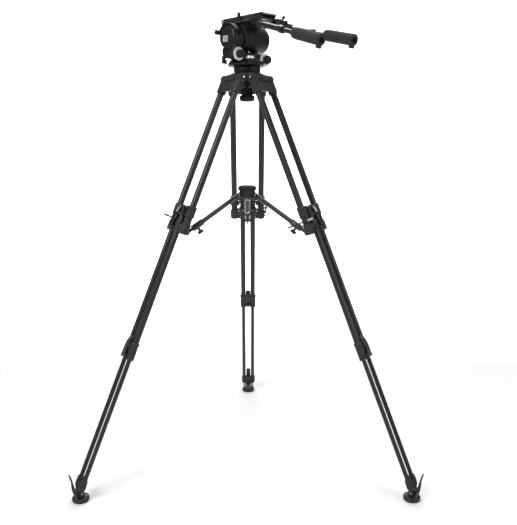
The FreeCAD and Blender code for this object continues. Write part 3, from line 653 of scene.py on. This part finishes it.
def leg_hardware(leg):
    """Clamp screws, the mid lever's bright links, the bent bar's tip and the pivot bolts' caps."""
    place = leg_frame(leg)
    screws = bmesh.new()
    for side in (-1, 1):
        screw_head((15.4, side * UPPER_HALF_GAP, -35), (1, 0, 0), 3.2, 1.5, screws)
        screw_head((-9, side * 38, -562), (-1, 0, 0), 2.6, 1.8, screws)
        screw_head((-9, side * 22, -560), (-1, 0, 0), 2.0, 1.6, screws)
        screw_head((-9, side * 31, -590), (-1, 0, 0), 2.2, 1.8, screws)
        screw_head((13, side * 39, -575), (1, 0, 0), 2.8, 2.0, screws)
    piece(f"{leg}_clamp_screws", screws, place, f"{leg}_leg", "steel")
    link = bmesh.new()
    for side in (-1, 1):
        middle = smooth_path([(21, 0, -505), (26.5, 0, -510), (30, 0, -519), (31.5, 0, -531)], 4)
        slab(ribbon(middle, 3), -1.2, 1.2, 0.5, link, Matrix.Translation((0, side * 9.8, 0)) @ UPRIGHT)
        screw_head((31, side * 10.8, -529), (0, side, 0), 2.4, 1.4, link)
    piece(f"{leg}_latch_link", link, place, f"{leg}_mid_latch", "steel", "bright_ring")
    tip = lathe([(0, 39), (3.2, 39), (4.3, 37.8), (4.3, 20), (3.3, 18.6), (0, 18.6)], 28)
    bar_end = Matrix.Translation((0, BAR_SIDE, BAR_HEIGHT)) @ ALONG_X
    piece(f"{leg}_bar_tip", tip, place @ bar_end, f"{leg}_leg", "steel", "label")
    caps = bmesh.new()
    for side in (-1, 1):
        lathe([(0, 0.4), (2.9, 0.4), (3.4, 0), (3.4, -0.6), (0, -0.6)], 24, into=caps,
              place=turned_to((0, side * (UPPER_HALF_GAP + 17.3 + 5.2), 0), (0, side, 0)))
    piece(f"{leg}_bolt_caps", caps, place, "frame", "steel", "label")
    low_screws = bmesh.new()
    for side in (-1, 1):
        screw_head((-0.8, side * LOWER_HALF_GAP, -1030), (-1, 0, 0), 2.6, 1.8, low_screws)
        screw_head((-0.8, side * LOWER_HALF_GAP, -1066), (-1, 0, 0), 2.6, 1.8, low_screws)
    piece(f"{leg}_lower_clamp_screws", low_screws, place, f"{leg}_middle_stage", "steel")


def arm_trim(leg):
    """Tapered sleeve on the arm's tube near the hub, and a collar at each end of its clamp."""
    around = Matrix.Rotation(math.radians(ARM_DIRECTION[leg]), 4, "Z")
    hub_pin = centre_frame() @ (around @ Vector((25, 0, 1080)))
    place = arm_frame(leg)
    length = (place.inverted() @ hub_pin).x
    sleeve = lathe([(5, length - 42), (9.4, length - 42), (9.4, length - 37), (8.6, length - 35),
                    (7.2, length - 21), (6.4, length - 20), (5, length - 20)], 40)
    piece(f"{leg}_arm_sleeve", sleeve, place @ ALONG_X, f"{leg}_arm_tube", "arm_coating")
    collar = lathe([(9, 70.5), (12.4, 70.5), (13, 71.3), (13, 73), (12.2, 74), (9, 76)], 48)
    lathe([(8, 27.6), (12.2, 27.6), (12.9, 28.4), (12.9, 31), (12.1, 32), (8, 32)], 48, into=collar)
    piece(f"{leg}_arm_collar", collar, place @ ALONG_X, f"{leg}_arm_tube", "arm_coating")


def leg_pad(leg):
    """Round rubber foot with grooves, hinge ears and the pull strap."""
    place = pad_frame(leg)
    pin = JOINTS[f"{leg}_pad_tilt"]["pos_m"][2] / MM
    profile = [(0, 0), (26, 0), (29.4, 1.2), (30.6, 4), (30.6, 7), (29.8, 8), (30.6, 9), (30.2, 12),
               (28, 15.4), (24, 17), (17, 18.2), (0, 18.2)]
    disc = lathe(profile, 72)
    for side in (-1, 1):
        ear = [(-9, 15), (9, 15), (9, 31), (7.5, 35), (4, 38), (0, 38.8), (-4, 38), (-7.5, 35), (-9, 31)]
        slab(ear, -2.4, 2.4, 0.7, disc, Matrix.Translation((0, side * 14.5, 0)) @ UPRIGHT)
        branch = smooth_path([(15, side * 22, 12), (20, side * 22.5, 26), (23.2, side * 20.5, 42),
                              (25.6, side * 15, 58), (28, side * 7, 73)], 6)
        swept(branch, 3, 14, disc)
    line = smooth_path([(27, 0, 64), (28.6, 0, 76), (32, 0, 90), (36, 0, 105.5)], 4)
    slab(ribbon(line, 2.4), -10, 10, 1.8, disc, UPRIGHT)
    for height in (84, 89, 94):
        across = 30.4 + (height - 84) * 0.26 + 2.6
        swept([(across, -8, height), (across, 8, height)], 0.9, 8, disc)
    piece(f"{leg}_pad_moulding", disc, place, f"{leg}_foot_pad", "pad_rubber", replaces=f"{leg}_pad")
    ends = bmesh.new()
    for side in (-1, 1):
        screw_head((0, side * 16.9, pin), (0, side, 0), 2.0, 0.9, ends)
        for across in (-19, 19):
            screw_head((across, side * 9, 17.4), (0, 0, 1), 1.8, 1.0, ends)
    piece(f"{leg}_pad_pin_ends", ends, place, f"{leg}_foot_pad", "steel", "bright_ring")


def build_legs():
    """Everything on the three legs, leg by leg."""
    for leg in LEGS:
        leg_tubes(leg)
        leg_castings(leg)
        leg_levers(leg)
        middle_casting(leg)
        arm_trim(leg)
        lower_casting(leg)
        foot_casting(leg)
        leg_hardware(leg)
        leg_pad(leg)


# ---------------------------------------------------------------- centre

def build_centre():
    """Crown, half ball, tie-down knob and spreader hub."""
    place = centre_frame()
    refined("crown", 1.2)
    refined("spreader_hub", 1.0)
    refined("clamp_washer", 0.6, "head_black")
    refined("leg_pivot_bolts", 0.6, "black_anodised")
    refined("half_ball", 0.8, "head_black")
    knob = lathe([(5.06, 1469.5), (18, 1469.5), (20.6, 1467.5), (21, 1465), (21, 1443), (22, 1441.5),
                  (26, 1440.5), (28.1, 1438), (28.5, 1435), (28.5, 1428), (27, 1423.5), (23, 1420.2),
                  (17, 1419), (0, 1419), (0, 1438), (5.06, 1438)],
                 96, 12, 2.6, (1421, 1466.5))
    piece("tie_down_grip", knob, place, "tie_down", "black_plastic", replaces="tie_down_knob")
    cap = lathe([(0, 1109.4), (19, 1108.6), (29, 1106.4), (33.6, 1103), (35.2, 1098.6), (35.4, 1092),
                 (34.4, 1090.4), (30.4, 1090), (30.4, 1097), (0, 1097)], 80)
    piece("hub_cap", cap, place, "hub", "black_plastic")


# ---------------------------------------------------------------- head

def joint_place(name, direction):
    """Frame at a head joint's position, with +Z along a direction of the head's frame."""
    head = head_frame()
    place = head @ turned_to((0, 0, 0), direction)
    place.translation = Vector(JOINTS[name]["pos_m"])
    return place


def fluted_knob(name, ring, grip):
    """Bright dial ring with tick marks, and a fluted black knob."""
    body, node = name, f"{name}_knob"
    place = joint_place(f"{name}_turn", (1, 0, 0))
    dial = lathe([(1.9, -14), (1.9, 0.4), (ring - 0.8, 0.4), (ring, 1.2), (ring, 7.2), (ring - 0.8, 8),
                  (grip - 1, 8.4), (0, 8.4), (0, -14)], 72)
    piece(f"{name}_dial", dial, place, body, "bright_ring", replaces=node)
    ticks = bmesh.new()
    for step in range(20):
        turn = Matrix.Rotation(2 * math.pi * step / 20, 4, "Z")
        long = 3.2 if step % 5 == 0 else 1.8
        rounded_box((ring - 0.35, -0.35, 1.6), (ring + 0.02, 0.35, 1.6 + long), 0.05, ticks, turn)
    piece(f"{name}_ticks", ticks, place, body, "black_plastic")
    grip_mesh = lathe([(0, 8.2), (grip - 1.2, 8.2), (grip, 9.6), (grip, 22), (grip - 0.8, 24.4),
                       (grip - 2.6, 25.7), (grip * 0.5, 25.9), (grip * 0.42, 25.2), (0, 25.2)],
                      120, 20, 1.5, (9, 23))
    piece(f"{name}_grip", grip_mesh, place, body, "bright_ring", "black_plastic")


def handle(name, side):
    """Foam grip, inner tube, outer tube with its clamp, and the toothed rosette."""
    head = head_frame()
    turn = JOINTS[f"{name}_handle_turn"]
    along = (head.to_3x3().inverted() @ Vector(JOINTS[f"{name}_handle_slide"]["axis"])).normalized()
    start = head.inverted() @ Vector(turn["pos_m"]) + Vector((0, side * 6, 0))
    place = head @ turned_to(start, along)
    base, end = 169, 297.6
    grip = lathe([(8.05, base - 0.5), (14, base - 0.5), (16.5, base + 0.6), (17.6, base + 3),
                  (18.2, base + 8), (19.3, base + 14), (19.5, base + 20), (19.5, end - 24), (19.2, end - 20),
                  (20, end - 9), (20, end - 3.5), (19, end - 0.6), (17.5, end), (10.5, end), (9.4, end - 1.5),
                  (9.2, end - 19), (0, end - 19), (0, base + 8), (8.05, base + 8)], 72)
    lip = [(-9, 18.5), (9, 18.5), (8, 24.5), (4, 27.5), (-4, 27.5), (-8, 24.5)]
    down = place.to_3x3().inverted() @ Vector((0, 0, -1))
    spin = Matrix.Rotation(math.atan2(down.y, down.x) - math.pi / 2, 4, "Z")
    slab(lip, -3, 11.6, 2.0, grip, Matrix.Translation((0, 0, end - 12)) @ spin)
    piece(f"{name}_grip_foam", grip, place, f"{name}_grip", "grip_rubber", replaces=f"{name}_handle_grip")
    inner = lathe([(0, 20), (7.6, 20), (8, 20.5), (8, base + 7), (0, base + 7)], 40)
    piece(f"{name}_inner_tube", inner, place, f"{name}_grip", "grip_rubber", "bar_finish")
    refined(f"{name}_handle_bar", 0.7)
    teeth = bmesh.new()
    for step in range(24):
        spin = Matrix.Rotation(2 * math.pi * step / 24, 4, "Z")
        rounded_box((10, -0.7, -0.2), (16, 0.7, 0.35), 0.1, teeth, spin)
    rosette = start - Vector((0, side * 8.05, 0))
    piece(f"{name}_rosette_teeth", teeth, head @ turned_to(rosette, (0, side, 0)), f"{name}_bar",
          "bar_finish", "black_anodised")
    wing = lathe([(0, 15.6), (5.5, 15.6), (7.6, 14), (8.2, 12), (8.2, 8), (0, 8)], 60, 8, 0.8, (8, 13))
    piece(f"{name}_rosette_knob", wing, head @ turned_to(start, (0, side, 0)), f"{name}_bar", "bar_finish",
          "black_plastic")


def build_head():
    """Head castings and plate from the CAD, with knobs, level, label, screws and the small catch."""
    place = head_frame()
    for node in ("pan_housing", "tilt_drum", "drum_end_cap", "platform", "plate_lock_lever", "pan_lock_lever",
                 "tilt_lock_lever"):
        refined(node, 1.3)
    refined("camera_plate", 0.7)
    refined("release_button", 0.8)
    fluted_knob("tilt_drag", 23, 14.5)
    fluted_knob("pan_drag", 22.5, 14.5)
    ring = lathe([(0, 0), (15.5, 0), (16.6, 0.8), (17, 2), (17, 8), (16, 9.6), (14.4, 9.9), (13, 8.6),
                  (0, 8.6)], 72)
    level_place = place @ Matrix.Translation((50, -32, 1565.5))
    piece("level_ring", ring, level_place, "pan", "bright_ring", replaces="bubble_level")
    dome = lathe([(0, 8.4), (12.6, 8.4), (12.2, 9.4), (8, 9.9), (0, 9.98)], 48)
    piece("level_dome", dome, level_place, "pan", "bright_ring", "level_vial")
    cap_face = place @ turned_to((0, -100.2, TILT_AXIS_HEIGHT), (0, -1, 0))
    label = rounded_box((-14, -11, -0.4), (14, 11, 0.25), 0.2)
    piece("cap_label", label, cap_face @ Matrix.Translation((-6, -6, 0)), "pan", "head_black", "label")
    dot = lathe([(0, 0.5), (2, 0.5), (2.4, 0), (0, 0)], 32)
    piece("cap_dot", dot, cap_face @ Matrix.Translation((0, -6.5, 0)), "pan", "head_black", "red_dot")
    rim = lathe([(43.3, 17.4), (44.1, 17.4), (44.1, 18.6), (43.3, 19.4)], 96)
    rim_place = place @ turned_to((0, -72.2, TILT_AXIS_HEIGHT), (0, -1, 0))
    piece("cap_rim", rim, rim_place, "pan", "head_black", "arm_coating")
    screws = bmesh.new()
    for y in (-33, 15):
        screw_head((45, y, 1589.5), (0.9, 0, -0.43), 3.0, 2.0, screws)
    piece("drum_screws", screws, place, "pan", "head_black", "bright_ring")
    flag = smooth_path([(104, 60, 1686), (108, 62, 1694), (116, 63, 1700), (124, 63, 1708)], 5)
    catch = swept(flag, 3.6, 16)
    lathe([(0, 5), (4.6, 5), (5.6, 4), (5.6, -4), (4.6, -5), (0, -5)], 32, into=catch,
          place=turned_to((125, 63, 1709), (0.75, 0, 0.66)))
    piece("platform_catch", catch, place, "tilt", "black_plastic")
    plate_rubber = bmesh.new()
    for x in (-70, 58):
        rounded_box((x - 12, -26, 1718.4), (x + 22, 26, 1718.98), 0.2, plate_rubber)
    piece("plate_rubber", plate_rubber, place, "plate", "black_anodised", "pad_rubber")


def build_handles():
    handle("left", -1)
    handle("right", 1)


# ---------------------------------------------------------------- finish of the nodes that stay

def dress_nodes():
    """Give every CAD node the material of its slot."""
    for node, item in frame["nodes"].items():
        material = MATERIALS[SLOTS[node]]
        if item.data.materials:
            item.data.materials[0] = material
        else:
            item.data.materials.append(material)


# ---------------------------------------------------------------- stage

def build_stage():
    """Pale floor that curves up into a backdrop, a world that is white to the camera, and soft lights."""
    mesh_data = bmesh.new()
    profile = [(-3.4, 0)]
    bend = 2.5
    sink = 0.0005
    half_width = 4.6
    profile += [(7 + bend * math.sin(angle), bend - bend * math.cos(angle))
                for angle in [math.pi / 2 * step / 16 for step in range(17)]]
    profile += [(7 + bend, 9)]
    rows = [[mesh_data.verts.new((x, y, z - sink)) for x in (-half_width, half_width)] for y, z in profile]
    for low, high in zip(rows, rows[1:]):
        mesh_data.faces.new((low[0], low[1], high[1], high[0]))
    for face in mesh_data.faces:
        face.smooth = True
    mesh = bpy.data.meshes.new("floor")
    mesh_data.to_mesh(mesh)
    mesh_data.free()
    mesh.materials.append(grained("floor_paper", (0.93, 0.93, 0.93), spread=0.01, grain=300, height=0.00005,
                                  roughness=(0.7, 0.8)))
    floor = bpy.data.objects.new("floor", mesh)
    bpy.context.scene.collection.objects.link(floor)
    world = bpy.data.worlds.new("studio")
    world.use_nodes = True
    tree = world.node_tree
    background = tree.nodes["Background"]
    background.inputs["Color"].default_value = (1, 1, 1, 1)
    background.inputs["Strength"].default_value = 0.32
    paper = tree.nodes.new("ShaderNodeBackground")
    paper.inputs["Color"].default_value = (1, 1, 1, 1)
    seen = tree.nodes.new("ShaderNodeLightPath")
    choice = tree.nodes.new("ShaderNodeMixShader")
    tree.links.new(seen.outputs["Is Camera Ray"], choice.inputs[0])
    tree.links.new(background.outputs[0], choice.inputs[1])
    tree.links.new(paper.outputs[0], choice.inputs[2])
    tree.links.new(choice.outputs[0], tree.nodes["World Output"].inputs[0])
    bpy.context.scene.world = world
    bpy.context.scene.view_settings.view_transform = "Standard"
    for name, place, aim, size, power in (("key", (-2.6, -3.2, 3.4), (0, 0, 1.1), 1.6, 150),
                                          ("fill", (3.2, -2.4, 2.2), (0, 0, 1.0), 1.4, 55),
                                          ("top", (0.2, 0.8, 4.2), (0, -0.1, 1.0), 2.6, 95),
                                          ("wash", (0, 3.2, 4.6), (0, 9.5, 1.4), 6.0, 1130)):
        light = bpy.data.lights.new(name, "AREA")
        light.size = size
        light.energy = power
        item = bpy.data.objects.new(name, light)
        item.location = place
        item.rotation_euler = (Vector(aim) - Vector(place)).to_track_quat("-Z", "Y").to_euler()
        bpy.context.scene.collection.objects.link(item)


def build_camera():
    """Eye-level camera a little above the spreader, looking slightly down."""
    camera = bpy.data.cameras.new("camera")
    camera.sensor_fit = "VERTICAL"
    camera.sensor_height = 36
    camera.lens = 44.25
    item = bpy.data.objects.new("camera", camera)
    item.location = (0.0186, -2.6553, 1.2803)
    item.rotation_euler = (math.radians(90 - 10.79), math.radians(-0.15), math.radians(-0.56))
    bpy.context.scene.collection.objects.link(item)
    bpy.context.scene.camera = item


build_legs()
build_centre()
build_head()
build_handles()
dress_nodes()
build_stage()
build_camera()
